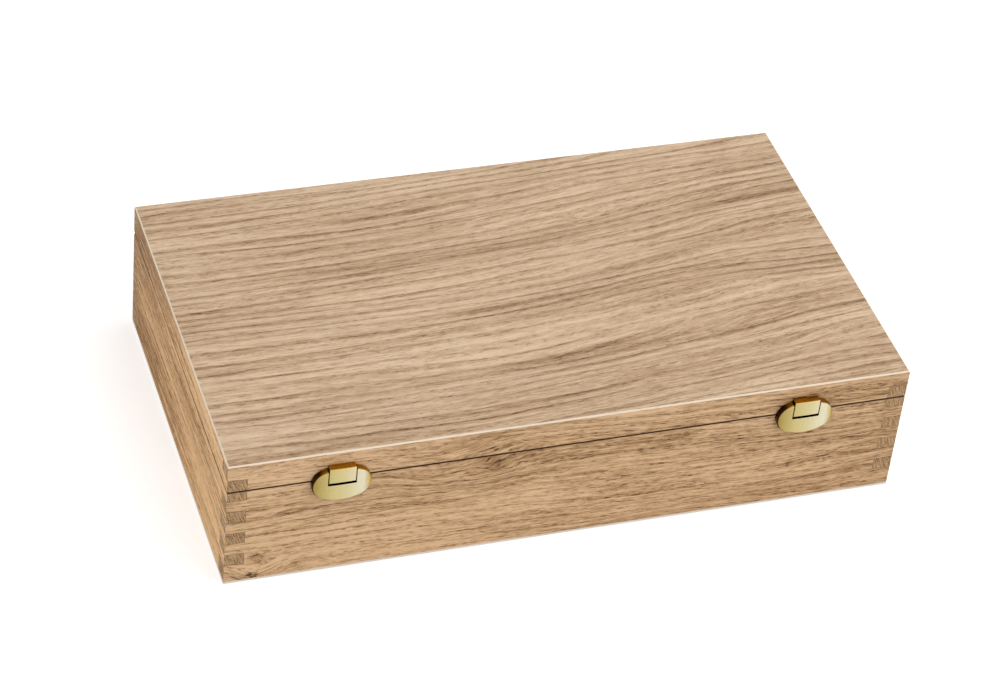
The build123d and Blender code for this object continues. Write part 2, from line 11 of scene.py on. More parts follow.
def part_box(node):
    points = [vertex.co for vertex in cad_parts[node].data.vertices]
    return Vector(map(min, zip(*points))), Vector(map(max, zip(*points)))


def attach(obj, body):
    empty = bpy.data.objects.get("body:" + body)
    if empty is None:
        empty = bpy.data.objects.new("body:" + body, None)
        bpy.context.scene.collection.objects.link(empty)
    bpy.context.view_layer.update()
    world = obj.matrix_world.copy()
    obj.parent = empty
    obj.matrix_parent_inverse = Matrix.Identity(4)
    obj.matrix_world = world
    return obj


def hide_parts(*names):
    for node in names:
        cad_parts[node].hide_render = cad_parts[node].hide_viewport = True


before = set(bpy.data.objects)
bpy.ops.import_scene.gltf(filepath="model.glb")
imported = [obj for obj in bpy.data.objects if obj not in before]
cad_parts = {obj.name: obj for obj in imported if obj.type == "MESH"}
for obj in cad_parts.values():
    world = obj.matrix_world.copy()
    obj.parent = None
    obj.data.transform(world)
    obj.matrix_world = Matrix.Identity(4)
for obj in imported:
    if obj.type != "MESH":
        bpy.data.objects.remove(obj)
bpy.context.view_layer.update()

bl_info = {
    "name": "Oak pencil box",
    "version": (1, 0, 0),
    "blender": (4, 5, 0),
    "location": "View3D > Sidebar > Pencil box",
    "description": "Dresses the packed model of an oak pencil box: wood, brass, foam, ribbons and pencils",
    "category": "Object",
}

MM = 0.001
SIDES = ("left", "right")
LEVELS = ("lower", "upper")

# Corner fingers of the case and the seam under its lid, in millimetres above the table
FINGER = 8.5
FIRST_FINGER = 15.0
LAST_FINGER = 66.0
LID_FINGER = 82.0
SEAM = 73.1

# Dark lines of the joints, and the painted shadow of the seam's gap along both its rims: distances in
# millimetres at which a line is still full and at which it is gone.
# The rows of lines stop beyond the outermost one of the body.
FINGER_LINE = (0.1, 0.4)
SHOULDER_LINE = (0.1, 0.45)
SEAM_SHADOW_LINE = (0.45, 0.85)
ROWS_END = (0.5, 1.5)

# Distances past a board's inner face at which the painted shadow along the rims of the seam starts and is
# full
SEAM_SHADOW_REACH = (10.4, 10.8)

# Strength of the lines between the fingers, and of the painted shadow along the rims of the seam
ROW_STRENGTH = 0.5
SEAM_SHADOW_STRENGTH = 0.95

# Sizes of the oak's features along the grain, across the face and through the board, in millimetres
BENDS = (320.0, 60.0, 60.0)
WAVES = (70.0, 16.0, 16.0)
CLOUDS = (240.0, 20.0, 50.0)
SWAY = (140.0, 12.0, 30.0)
BAND_LENGTH = 130.0
BAND_DEPTH = 12.0
STREAKS = (30.0, 0.9, 4.0)
FIBRES = (9.0, 0.95, 2.0)
PORES = (4.5, 0.7, 1.5)
END_LINES = (60.0, 7.0, 0.85)
END_DOTS = (0.8, 0.8, 0.8)

# Sizes of the noise in the front's and the top's own marks, in millimetres
CHURN = (34.0, 15.0, 1.0)
PATCHES = (24.0, 8.0, 1.0)
SPECKLE = (2.0, 1.5, 1.0)
TOP_WAVES = (90.0, 30.0, 1.0)

# Places in X between which the top's grain climbs, and how far it climbs and waves, in millimetres
CLIMB_RANGE = (-160.0, 230.0)
CLIMB = 22.0
TOP_WAVE = 5.0

# Painted shade, a slow darkening by the millimetre as the light falls off, to the right on the front and
# backwards on the end boards, and the end boards' darkness at their middle
FRONT_PAINTED_SHADE = 0.00035
FLANK_PAINTED_SHADE = 0.0017
FLANK_PAINTED_SHADE_MIDDLE = 0.06

# Hills on the front, each with its middle and its reach in X and Z, in millimetres, and its height. FLAME,
# with the bend round the knot, lifts the grain by millimetres. FLAME_SHADE and KNOT darken it.
FLAME = (
    ((-78.0, 64.0), (42.0, 20.0), 8.0),
    ((-22.0, 86.0), (44.0, 16.0), -3.5),
    ((-195.0, 4.0), (22.0, 13.0), 10.0),
)
CHURNED = ((-50.0, 62.0), (70.0, 26.0))
CHURN_HEIGHT = 5.0
FLAME_SHADE = (
    ((-70.0, 80.0), (42.0, 12.0), 0.3),
    ((-52.0, 65.0), (20.0, 10.0), 0.14),
    ((-4.0, 67.0), (30.0, 8.0), 0.18),
    ((46.0, 66.0), (28.0, 8.0), 0.24),
)
KNOT = (
    ((-195.0, 4.6), (3.4, 2.0), 1.6),
    ((-193.0, 19.0), (3.0, 2.6), 0.8),
    ((-189.0, 13.5), (5.0, 2.0), 0.45),
)

# Plywood: where the line rises in each layer of one millimetre, the heights between which the edge turns
# from its pale band to oak, and those between which the oak ends at the panel's inner face
PLY_LINE = (0.8, 0.95)
PALE_BAND_TOP = (1.9, 2.2)
PANEL_EDGE_TOP = (3.2, 3.0)

# Parts of a face's outward direction between which one finish gives way to the next
SAWN_END = (0.6, 0.8)
# The next two mark the top's chamfer, whose pale colour is partly bare sanded wood and partly a painted
# highlight
SANDED_HIGHLIGHT_FROM = (0.3, 0.5)
SANDED_HIGHLIGHT_TO = (0.95, 0.85)
PANEL_FLANK = (0.3, 0.6)
PANEL_FACE = (0.2, 0.4)
# The next three mark the clasps' walls that get painted reflections: golden to the right and up, dark brown
# to the left
CLASP_RIGHT_REFLECTION = (0.3, 0.75)
CLASP_TOP_REFLECTION = (0.3, 0.7)
CLASP_LEFT_REFLECTION = (-0.2, -0.6)
# The next one marks the walls in the gap round the tongue, which get a painted shadow
CLASP_GAP_SHADOW = (-0.6, -0.3)

# Sizes of features in the other materials along X, Y and Z, in metres, and the foam's cells in a metre
POLISH_LINES = (0.02, 0.02, 0.0004)
BRASS_PATCHES = (0.006, 0.006, 0.006)
PLY_FIBRES = (0.03, 0.0009, 0.0009)
CEDAR_FIBRES = (0.0008, 0.02, 0.0008)
FOAM_CLOUDS = (0.02, 0.02, 0.02)
FOAM_CELLS = 1400.0

# Depths of the fine relief
POLISH_DEPTH = 0.004 * MM
PLY_DEPTH = 0.05 * MM
CEDAR_DEPTH = 0.06 * MM
FOAM_DEPTH = 0.15 * MM
WEAVE_DEPTH = 0.12 * MM

# Painted shadow in the notch of a clasp's lever, which the tongue fills: its margin at the sides, and its
# top's soft edge
NOTCH_SHADOW_MARGIN = 2.0 * MM
NOTCH_SHADOW_EDGE = (1.0 * MM, 2.0 * MM)

# Painted reflection: screen colours across a clasp's face from left to right, darker at the left and
# brightest towards the right, each with its place from 0 to 1
CLASP_REFLECTION_BANDS = (
    (0.00, (176, 146, 70)),
    (0.10, (200, 178, 104)),
    (0.34, (230, 213, 148)),
    (0.55, (240, 226, 170)),
    (0.72, (250, 240, 198)),
    (0.86, (253, 248, 218)),
    (0.95, (226, 200, 120)),
    (1.00, (180, 144, 58)),
)

# Rows of pencils: how many in a tray, the reach of their corners, the length of the sharpened cone, the
# radius of its tip, how far under the cone's surface still counts as bare, and the lead's share of the cone
PENCILS = 38
PENCIL_CORNER = 4.0 * MM
PENCIL_CONE = 20.0 * MM
PENCIL_TIP = 0.6 * MM
CONE_DEPTH = 0.12 * MM
LEAD_SHARE = 0.3

# Screen colours of the pencils, each with its place from 0 to 1 in the whole set. A tray holds half of it,
# and its middle pencil has the place given here.
TRAY_SHARE = 0.5
MIDDLE_COLOUR = {"lower": 0.75, "upper": 0.25}
PENCIL_COLOURS = (
    (0.00, (246, 238, 214)),
    (0.05, (250, 226, 70)),
    (0.12, (245, 170, 30)),
    (0.19, (228, 96, 30)),
    (0.26, (200, 30, 34)),
    (0.32, (196, 34, 96)),
    (0.38, (226, 120, 160)),
    (0.44, (120, 50, 130)),
    (0.50, (60, 50, 140)),
    (0.56, (28, 70, 160)),
    (0.62, (50, 140, 200)),
    (0.68, (30, 140, 140)),
    (0.74, (30, 120, 70)),
    (0.80, (120, 165, 50)),
    (0.86, (110, 95, 40)),
    (0.92, (110, 60, 34)),
    (0.96, (70, 66, 64)),
    (1.00, (24, 24, 26)),
)

# Lid pad: exponents of its outline's corners and of its rounded edge, and steps round and up its mesh
PAD_CORNER = 0.07
PAD_ROLL = 0.5
PAD_ROUND = 256
PAD_UP = 33

# Foam beds: radius of the grooves, dip of their lips as a share of the lips' width, and steps of the mesh
GROOVE_RADIUS = 4.3 * MM
LIP_DIP = 0.4
BED_PER_PENCIL = 24
BED_ALONG = 24

# Ribbons: spacing of the waves of their threads, and steps up, round the bend, inwards and across
THREAD = 0.7 * MM
RIBBON_UP = 12
RIBBON_ROUND = 9
RIBBON_INWARD = 40
RIBBON_ACROSS = 13

# Lamps: place and side of each soft square, in metres, and the point that all of them face
LAMPS = {
    "key": ((0.5, -0.3, 1.5), 1.4),
    "fill": ((0.5, -1.6, 0.9), 1.2),
    "left": ((-1.7, -0.5, 0.8), 1.2),
}
LAMP_TARGET = (0.0, 0.0, 0.05)

# Floor: half its width in metres, and the glow that makes it white to the camera
FLOOR_REACH = 6.0
FLOOR_GLOW = 0.45

# Camera: what it looks at and from how far in metres, its turn, rise and roll in degrees, its sensor's
# width in millimetres, and how far it sees in metres
CAMERA_TARGET = (-0.005956, 0.002735, 0.04783)
CAMERA_DISTANCE = 2.0421
CAMERA_ANGLES = (-21.36, 39.728, 6.407)
CAMERA_SENSOR = 36.0
CAMERA_CLIP = 50.0

# Sockets of Blender's mix node that take the two colours, and the one that gives the mixed colour
MIX_FIRST = 6
MIX_SECOND = 7
MIX_RESULT = 2


def linear(red, green, blue):
    """Scene-linear colour of a screen colour given from 0 to 255: a straight line in the dark, and above it
    a power of 2.4."""
    screen = np.array([red, green, blue]) / 255.0
    low = screen / 12.92
    high = ((screen + 0.055) / 1.055) ** 2.4
    return tuple(np.where(screen <= 0.04045, low, high).tolist())


def colour_stops(table):
    """A table's places with scene-linear colours."""
    return [(place, linear(*screen_colour)) for place, screen_colour in table]


def colour_setting(name, description, screen_colour):
    """A colour property whose default is a screen colour."""
    return bpy.props.FloatVectorProperty(
        name=name,
        description=description,
        default=linear(*screen_colour),
        subtype="COLOR",
        size=3,
        min=0,
        max=1,
    )


class OakSettings(bpy.types.PropertyGroup):
    """Colours and grain of the oak."""

    top_pale: colour_setting("Top, pale wood", "Palest wood of the top panel", (229, 200, 168))
    top_middle: colour_setting("Top, middle tone", "Middle tone of the top panel", (182, 149, 115))
    top_dark: colour_setting("Top, dark streaks", "Darkest streaks of the top panel", (112, 78, 46))
    side_pale: colour_setting("Sides, pale wood", "Palest wood of the long boards", (232, 194, 151))
    side_middle: colour_setting("Sides, middle tone", "Middle tone of the long boards", (180, 140, 98))
    # Painted light: the end boards' tones are a brighter, warmer copy of the long boards' tones
    lit_flank_pale: colour_setting("Ends, pale wood", "Palest wood of the end boards", (246, 201, 148))
    lit_flank_middle: colour_setting("Ends, middle tone", "Middle tone of the end boards", (190, 143, 92))
    side_dark: colour_setting("Sides, dark streaks", "Darkest streaks of the boards", (90, 58, 28))
    end_pale: colour_setting("End grain, pale", "Pale wood of the sawn ends", (208, 170, 126))
    end_dark: colour_setting("End grain, dark", "Pores of the sawn ends", (100, 68, 36))
    # The joint colour serves both the real lines between the fingers and the painted shadow along the seam
    joint_and_seam_shadow: colour_setting("Joint line", "Thin lines where boards meet", (78, 50, 24))
    # The top edge colour is partly bare sanded wood and partly a painted highlight
    edge: colour_setting("Top edge", "Bare wood on the sanded edge of the top", (243, 225, 203))
    pore_depth: bpy.props.FloatProperty(
        name="Pore depth", description="Depth of the open pores", default=0.12 * MM, unit="LENGTH"
    )


class BrassSettings(bpy.types.PropertyGroup):
    """Colour and polish of the brass, with painted reflections on the clasps' walls and a painted shadow in
    the gap round each tongue.
    """

    bright: colour_setting("Bright brass", "Satin brass of the hinges and pins", (230, 214, 150))
    deep: colour_setting("Deep brass", "Duller patches of the hinges and pins", (176, 146, 74))
    # Painted reflections on the clasps' walls, chosen by the way each wall faces
    top_wall_reflection: colour_setting("Top wall", "Walls of the clasps that face up", (166, 122, 34))
    left_wall_reflection: colour_setting("Left wall", "Walls of the clasps that face left", (54, 26, 8))
    right_wall_reflection: colour_setting("Right wall", "Walls of the clasps that face right", (178, 142, 54))
    # Painted shadow on the walls in the gap round the tongue
    gap: colour_setting("Gap", "Walls in the gap round the tongue", (16, 10, 5))
    roughness: bpy.props.FloatProperty(
        name="Roughness",
        description="How dull the satin brass is",
        default=0.28,
        min=0,
        max=1,
        subtype="FACTOR",
    )


class InsideSettings(bpy.types.PropertyGroup):
    """Sizes and colours of the soft pieces."""

    foam: colour_setting("Foam", "Foam of the beds and the lid pad", (52, 50, 50))
    ribbon: colour_setting("Ribbon", "Lifting ribbons", (120, 84, 52))
    groove_lip: bpy.props.FloatProperty(
        name="Groove lip", description="Rounding of the foam between grooves", default=0.6 * MM, unit="LENGTH"
    )
    ribbon_thickness: bpy.props.FloatProperty(
        name="Ribbon thickness",
        description="Thickness of the lifting ribbons",
        default=0.8 * MM,
        unit="LENGTH",
    )
    ribbon_bend: bpy.props.FloatProperty(
        name="Ribbon bend", description="Radius of the ribbons' bend", default=1.2 * MM, unit="LENGTH"
    )


class StageSettings(bpy.types.PropertyGroup):
    """Camera, floor and lamps."""

    lens: bpy.props.FloatProperty(name="Lens", description="Focal length of the camera, in mm", default=117.6)
    key_power: bpy.props.FloatProperty(
        name="Key lamp", description="Power of the large lamp above", default=7.6, min=0, unit="POWER"
    )
    fill_power: bpy.props.FloatProperty(
        name="Fill lamp", description="Power of the lamp at the front", default=3.5, min=0, unit="POWER"
    )
    left_power: bpy.props.FloatProperty(
        name="Left lamp", description="Power of the lamp at the left", default=3.6, min=0, unit="POWER"
    )
    sky: bpy.props.FloatProperty(
        name="Sky", description="Strength of the even light from all round", default=0.62, min=0
    )


class Finish:
    """A material under construction: it puts nodes down, joins them and sets their values."""

    def __init__(self, name, **values):
        self.material = bpy.data.materials.new(name)
        self.material.use_nodes = True
        self.tree = self.material.node_tree
        self.tree.nodes.clear()
        self.shader = self.put("ShaderNodeBsdfPrincipled", **values)
        self.output = self.put("ShaderNodeOutputMaterial", Surface=self.shader.outputs[0])
        source = self.put("ShaderNodeTexCoord")
        self.place = source.outputs["Object"]
        self.normal = dict(zip("XYZ", self.split(source.outputs["Normal"])))

    def set(self, socket, value):
        """Joins a socket to an input, or gives the input a value."""
        if isinstance(value, bpy.types.NodeSocket):
            self.tree.links.new(value, socket)
        elif hasattr(socket.default_value, "__len__") and len(socket.default_value) == 4:
            socket.default_value = (*value, 1.0)
        else:
            socket.default_value = value

    def put(self, kind, settings=None, **values):
        """Adds a node, with its settings, and its inputs by name with underscores for spaces."""
        node = self.tree.nodes.new(kind)
        for key, value in (settings or {}).items():
            setattr(node, key, value)
        for key, value in values.items():
            self.set(node.inputs[key.replace("_", " ")], value)
        return node

    def colour(self, value):
        """Sets the colour of the surface."""
        self.set(self.shader.inputs["Base Color"], value)

    def maths(self, operation, first, second=0.0, third=0.0, clamp=False):
        """One step of arithmetic on values."""
        node = self.put("ShaderNodeMath", {"operation": operation, "use_clamp": clamp})
        for socket, value in zip(node.inputs, (first, second, third)):
            self.set(socket, value)
        return node.outputs[0]

    def times(self, first, second):
        """The product of two values."""
        return self.maths("MULTIPLY", first, second)

    def scaled(self, value, factor, shift, clamp=False):
        """A value times a factor, plus a shift."""
        return self.maths("MULTIPLY_ADD", value, factor, shift, clamp)

    def share(self, value, whole):
        """A value divided by another."""
        return self.maths("DIVIDE", value, whole)

    def greater(self, first, second):
        """The greater of two values."""
        return self.maths("MAXIMUM", first, second)

    def less(self, first, second):
        """The first value less the second."""
        return self.maths("SUBTRACT", first, second)

    def size(self, value):
        """A value without its sign."""
        return self.maths("ABSOLUTE", value)

    def total(self, *values):
        """The sum of several values."""
        result = values[0]
        for value in values[1:]:
            result = self.maths("ADD", result, value)
        return result

    def held(self, value):
        """A value kept between 0 and 1."""
        return self.maths("ADD", value, 0.0, clamp=True)

    def step(self, value, low, high):
        """Smooth rise from 0 at low to 1 at high."""
        node = self.put("ShaderNodeMapRange", {"interpolation_type": "SMOOTHSTEP"}, Value=value)
        self.set(node.inputs["From Min"], low)
        self.set(node.inputs["From Max"], high)
        return node.outputs["Result"]

    def near(self, value, low, high):
        """Smooth fall from 1 where the value's size is below low to 0 above high."""
        return self.less(1.0, self.step(self.size(value), low, high))

    def split(self, vector):
        """The three parts of a vector."""
        return self.put("ShaderNodeSeparateXYZ", Vector=vector).outputs

    def vector(self, first, second, third=0.0):
        """A vector from three values."""
        node = self.put("ShaderNodeCombineXYZ")
        for socket, value in zip(node.inputs, (first, second, third)):
            self.set(socket, value)
        return node.outputs[0]

    def millimetres(self):
        """The object's X, Y and Z in millimetres."""
        scaled = self.put("ShaderNodeVectorMath", {"operation": "SCALE"}, Vector=self.place, Scale=1.0 / MM)
        return dict(zip("XYZ", self.split(scaled.outputs[0])))

    def noise(self, vector, size, shift=0.0, detail=2.0, roughness=0.5):
        """Noise from -1 to 1, whose features have the given sizes along the vector's three parts."""
        placed = self.put("ShaderNodeMapping", Vector=vector)
        placed.inputs["Scale"].default_value = tuple(1.0 / part for part in size)
        placed.inputs["Location"].default_value = (shift, shift * 1.7, shift * 0.6)
        node = self.put(
            "ShaderNodeTexNoise", Vector=placed.outputs[0], Scale=1.0, Detail=detail, Roughness=roughness
        )
        return self.scaled(node.outputs["Fac"], 2.0, -1.0)

    def ramp(self, value, *stops):
        """A colour read from evenly spaced stops or from pairs of a position and a colour."""
        if not hasattr(stops[0][1], "__len__"):
            stops = [(index / (len(stops) - 1), stop) for index, stop in enumerate(stops)]
        node = self.put("ShaderNodeValToRGB", Fac=value)
        elements = node.color_ramp.elements
        while len(elements) < len(stops):
            elements.new(0.5)
        for element, (position, colour) in zip(elements, stops):
            element.position = position
            element.color = (*colour, 1.0)
        return node.outputs["Color"]

    def mix(self, amount, first, second):
        """A mix of two colours."""
        node = self.put("ShaderNodeMix", {"data_type": "RGBA", "clamp_factor": True}, Factor=amount)
        self.set(node.inputs[MIX_FIRST], first)
        self.set(node.inputs[MIX_SECOND], second)
        return node.outputs[MIX_RESULT]

    def bump(self, height, depth, strength=1.0):
        """Raises the surface by the height value times the depth."""
        node = self.put("ShaderNodeBump", Height=height, Distance=depth, Strength=strength)
        self.set(self.shader.inputs["Normal"], node.outputs[0])


def hill(wood, parts, middle, reach):
    """A smooth hill on the front, 1 high: e to the minus squared distance over reach, in X and Z."""
    across = wood.share(wood.less(parts["X"], middle[0]), reach[0])
    upward = wood.share(wood.less(parts["Z"], middle[1]), reach[1])
    squares = wood.total(wood.times(across, across), wood.times(upward, upward))
    return wood.maths("EXPONENT", wood.times(squares, -1.0))


def hills(wood, parts, table):
    """The sum of a table's hills, each times its height."""
    lifts = [wood.times(hill(wood, parts, middle, reach), height) for middle, reach, height in table]
    return wood.total(*lifts)


def front_figure(wood, parts):
    """The flame left of the middle of the front, churned by noise, and the bend round its knot."""
    churn = wood.noise(wood.vector(parts["X"], parts["Z"]), CHURN, shift=83.0)
    churned = wood.times(hill(wood, parts, *CHURNED), churn)
    return wood.total(hills(wood, parts, FLAME), wood.times(churned, CHURN_HEIGHT))


def top_figure(wood, parts):
    """The grain of the top climbs towards the right and grows wavier there."""
    rightward = wood.step(parts["X"], *CLIMB_RANGE)
    place = wood.vector(parts["X"], parts["Y"])
    waves = wood.times(wood.noise(place, TOP_WAVES, shift=41.0), TOP_WAVE)
    return wood.total(wood.times(wood.times(rightward, rightward), -CLIMB), wood.times(waves, rightward))


def front_marks_and_painted_shade(wood, parts):
    """Dark marks of the front: cloudy patches over its flame and a small knot at the lower left with dots
    above; and a slow darkening to the right, which is painted shade."""
    place = wood.vector(parts["X"], parts["Z"])
    patches = wood.noise(place, PATCHES, shift=77.0)
    speckle = wood.noise(place, SPECKLE, shift=63.0, detail=1.0)
    clouds = wood.times(hills(wood, parts, FLAME_SHADE), wood.scaled(patches, 2.0, 0.8, clamp=True))
    spots = wood.held(wood.times(hills(wood, parts, KNOT), wood.scaled(speckle, 1.6, 0.55)))
    # The term by X is painted shade, darker to the right
    return wood.total(spots, wood.times(parts["X"], FRONT_PAINTED_SHADE), clouds)


def flank_painted_shade(wood, parts):
    """Painted shade: the end boards darken slowly from front to back."""
    return wood.scaled(parts["Y"], FLANK_PAINTED_SHADE, FLANK_PAINTED_SHADE_MIDDLE)


class Cut(NamedTuple):
    """How a board is cut from the tree. Lengths are in millimetres, and amounts are shares of darkness."""

    order: str  # the object's axes along the grain, across the face and through the board
    seed: float  # its place in the noise
    slope: float  # rise of the grain along the board
    bend: float  # height of the long bends
    wave: float  # height of the short waves
    band: float  # width of the bands
    bands: float  # amount of the bands
    ring: float  # spacing of the growth rings
    rings: float  # amount of the growth rings
    streaks: float  # amount of the thin streaks
    grit: float  # amount of the fine fibres
    pores: float  # amount of the open pores
    figure: Callable = None  # function of the board's own lift of the grain
    # The marks of the front and of the end boards include painted shade, a slow darkening across the board
    marks_and_painted_shade: Callable = None  # function of the board's own dark marks


FRONT = Cut(
    order="XZY", seed=2.0, slope=0.02, bend=9.0, wave=3.0, band=3.0, bands=0.5, ring=6.5, rings=0.18,
    streaks=0.45, grit=0.6, pores=0.46, figure=front_figure, marks_and_painted_shade=front_marks_and_painted_shade,
)
BACK = Cut(
    order="XZY", seed=31.0, slope=0.0, bend=14.0, wave=2.6, band=3.0, bands=0.5, ring=6.5, rings=0.16,
    streaks=0.45, grit=0.55, pores=0.44,
)
FLANK = Cut(
    order="YZX", seed=57.0, slope=0.03, bend=12.0, wave=3.0, band=3.0, bands=0.6, ring=5.5, rings=0.24,
    streaks=0.5, grit=0.7, pores=0.48, marks_and_painted_shade=flank_painted_shade,
)
TOP = Cut(
    order="XYZ", seed=71.0, slope=-0.012, bend=14.0, wave=1.2, band=2.6, bands=0.26, ring=7.5, rings=0.44,
    streaks=0.34, grit=0.42, pores=0.3, figure=top_figure,
)
TRAY_LONG = Cut(
    order="XZY", seed=91.0, slope=0.01, bend=6.0, wave=1.2, band=2.0, bands=0.3, ring=3.0, rings=0.1,
    streaks=0.5, grit=0.2, pores=0.3,
)
TRAY_SHORT = TRAY_LONG._replace(order="YZX", seed=97.0)


def grain(wood, cut):
    """Darkness of oak on its long faces, and the depth of its pores.

    The height across the face, moved by long bends, waves and the cut's own figure, takes the face's place in
    noise drawn out along the grain: broad clouds, bands, streaks, fine fibres, and short pores that lie
    mostly in the bands. The same height over the ring spacing gives growth rings, which darken slowly and
    end sharply.
    """
    parts = wood.millimetres()
    along, face, through = (parts[axis] for axis in cut.order)
    block = wood.vector(along, face, through)
    height = wood.total(
        face,
        wood.times(through, 0.35),
        wood.times(along, cut.slope),
        wood.times(wood.noise(block, BENDS, cut.seed, detail=1.0), cut.bend),
        wood.times(wood.noise(block, WAVES, cut.seed + 3), cut.wave),
    )
    if cut.figure:
        height = wood.total(height, cut.figure(wood, parts))
    bent = wood.vector(along, height, through)
    cloud = wood.noise(bent, CLOUDS, cut.seed + 5)
    band = wood.noise(bent, (BAND_LENGTH, cut.band, BAND_DEPTH), cut.seed + 7, detail=3.0, roughness=0.6)
    streak = wood.noise(bent, STREAKS, cut.seed + 11, detail=3.0, roughness=0.6)
    sway = wood.noise(bent, SWAY, cut.seed + 17)
    turn = wood.maths("FRACT", wood.total(wood.share(height, cut.ring), wood.times(sway, 0.7)))
    late = wood.times(wood.step(turn, 0.35, 0.9), wood.step(turn, 1.0, 0.9))
    late = wood.times(late, wood.scaled(sway, 1.2, 0.6, clamp=True))
    grit = wood.noise(bent, FIBRES, cut.seed + 29, roughness=0.65)
    fleck = wood.noise(bent, PORES, cut.seed + 13)
    open_band = wood.step(wood.total(band, wood.times(late, 0.3)), -0.15, 0.3)
    pores = wood.times(wood.step(fleck, 0.08, 0.3), wood.scaled(open_band, 0.6, 0.4))
    darkness = wood.total(
        0.2,
        wood.times(cloud, 0.35),
        wood.times(band, cut.bands),
        wood.times(streak, cut.streaks),
        wood.times(grit, cut.grit),
        wood.times(late, cut.rings),
        wood.times(pores, cut.pores),
    )
    # The cut's own marks, with painted shade on the front and the end boards
    if cut.marks_and_painted_shade:
        darkness = wood.total(darkness, cut.marks_and_painted_shade(wood, parts))
    return darkness, pores


def carve(wood, darkness, pores):
    """Sinks the pores, and the dark wood a little."""
    depth = bpy.context.scene.oak_settings.pore_depth
    wood.bump(wood.less(wood.times(darkness, -0.25), pores), depth)


def sawn(wood, cut):
    """1 on a board's sawn ends and 0 on its long faces."""
    return wood.step(wood.size(wood.normal[cut.order[0]]), *SAWN_END)


def end_grain(wood, cut):
    """Colour of a sawn end: fine slanting lines of pores, and dots."""
    settings = bpy.context.scene.oak_settings
    parts = wood.millimetres()
    along, face, through = (parts[axis] for axis in cut.order)
    slanted = wood.total(through, wood.times(face, 0.3))
    lines = wood.noise(wood.vector(along, face, slanted), END_LINES, cut.seed + 19)
    dots = wood.noise(wood.vector(along, face, through), END_DOTS, cut.seed + 23, detail=1.0)
    darkness = wood.total(0.4, wood.times(lines, 1.1), wood.times(dots, 0.8))
    return wood.ramp(wood.held(darkness), settings.end_pale, settings.end_dark)


def joint_lines_and_seam_shadow(wood, cut):
    """Strength of the thin dark lines between the corner fingers, and of the painted shadow along both rims
    of the seam.
    """
    parts = wood.millimetres()
    height = parts["Z"]
    inner = {"X": -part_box("left_board")[1].x / MM, "Y": -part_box("front_board")[1].y / MM}
    past = {axis: wood.less(wood.size(parts[axis]), inner[axis]) for axis in inner}
    corner = wood.times(*(wood.maths("GREATER_THAN", distance, 0.0) for distance in past.values()))
    turn = wood.share(wood.less(height, FIRST_FINGER), FINGER)
    from_line = wood.times(wood.less(wood.maths("FRACT", wood.total(turn, 0.5)), 0.5), FINGER)
    half_stack = (LAST_FINGER - FIRST_FINGER) / 2
    from_middle = wood.less(height, FIRST_FINGER + half_stack)
    in_body = wood.near(from_middle, *(half_stack + end for end in ROWS_END))
    rows = wood.greater(
        wood.times(wood.near(from_line, *FINGER_LINE), in_body),
        wood.near(wood.less(height, LID_FINGER), *FINGER_LINE),
    )
    shoulder = wood.times(wood.near(past[cut.order[2]], *SHOULDER_LINE), sawn(wood, cut))
    rows = wood.times(wood.greater(rows, shoulder), corner)
    # Painted shadow of the seam's gap, on the outer part of the boards along both rims
    outside = wood.greater(*(wood.step(distance, *SEAM_SHADOW_REACH) for distance in past.values()))
    seam_shadow = wood.times(wood.near(wood.less(height, SEAM), *SEAM_SHADOW_LINE), outside)
    return wood.greater(wood.times(rows, ROW_STRENGTH), wood.times(seam_shadow, SEAM_SHADOW_STRENGTH))


def tones(cut):
    """The pale, middle and dark tone of a cut. The end boards' pale and middle tones are a brighter, warmer
    copy of the long boards', as painted light.
    """
    settings = bpy.context.scene.oak_settings
    if cut == TOP:
        return settings.top_pale, settings.top_middle, settings.top_dark
    # Brighter, warmer copy of the side tones, as painted light
    if cut == FLANK:
        return settings.lit_flank_pale, settings.lit_flank_middle, settings.side_dark
    return settings.side_pale, settings.side_middle, settings.side_dark


def oak_finish(name):
    """An oiled wood surface, still without colour."""
    return Finish(name, Roughness=0.62, Specular_IOR_Level=0.3)


def oak(name, cut, with_joints_and_seam_shadow=False):
    """Solid oak in one cut, with its sawn ends and, on the case, its joint lines and the painted shadow along
    the seam.
    """
    wood = oak_finish(name)
    darkness, pores = grain(wood, cut)
    tone = wood.ramp(wood.held(darkness), *tones(cut))
    tone = wood.mix(sawn(wood, cut), tone, end_grain(wood, cut))
    if with_joints_and_seam_shadow:
        tone = wood.mix(joint_lines_and_seam_shadow(wood, cut), tone, bpy.context.scene.oak_settings.joint_and_seam_shadow)
    wood.colour(tone)
    carve(wood, darkness, pores)
    return wood


def edged_panel(face_tone, wood):
    """Adds to a panel's face tone the oak of its upright edges, which carries on from the boards."""
    front, flank = (wood.ramp(wood.held(grain(wood, cut)[0]), *tones(cut)) for cut in (FRONT, FLANK))
    edges = wood.mix(wood.step(wood.size(wood.normal["X"]), *PANEL_FLANK), front, flank)
    return wood.mix(wood.step(wood.size(wood.normal["Z"]), *PANEL_FACE), edges, face_tone)


def give(finish, *nodes):
    """Puts a finish on CAD nodes, in place of their plain one."""
    for name in nodes:
        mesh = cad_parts[name].data
        mesh.materials.clear()
        mesh.materials.append(finish.material)


def polish(metal, roughness):
    """Fine polishing lines and softly mottled gloss; the mottle is handed back."""
    fine = metal.noise(metal.place, POLISH_LINES, shift=3.0, detail=3.0)
    mottle = metal.noise(metal.place, BRASS_PATCHES, shift=5.0, detail=3.0)
    metal.set(metal.shader.inputs["Roughness"], metal.scaled(mottle, 0.06, roughness))
    metal.bump(fine, POLISH_DEPTH, strength=0.5)
    return mottle


def plain_metal(name, bright, deep, roughness):
    """Satin metal with duller patches."""
    metal = Finish(name, Metallic=1.0)
    mottle = polish(metal, roughness)
    metal.colour(metal.mix(metal.scaled(mottle, 0.8, 0.35, clamp=True), bright, deep))
    return metal


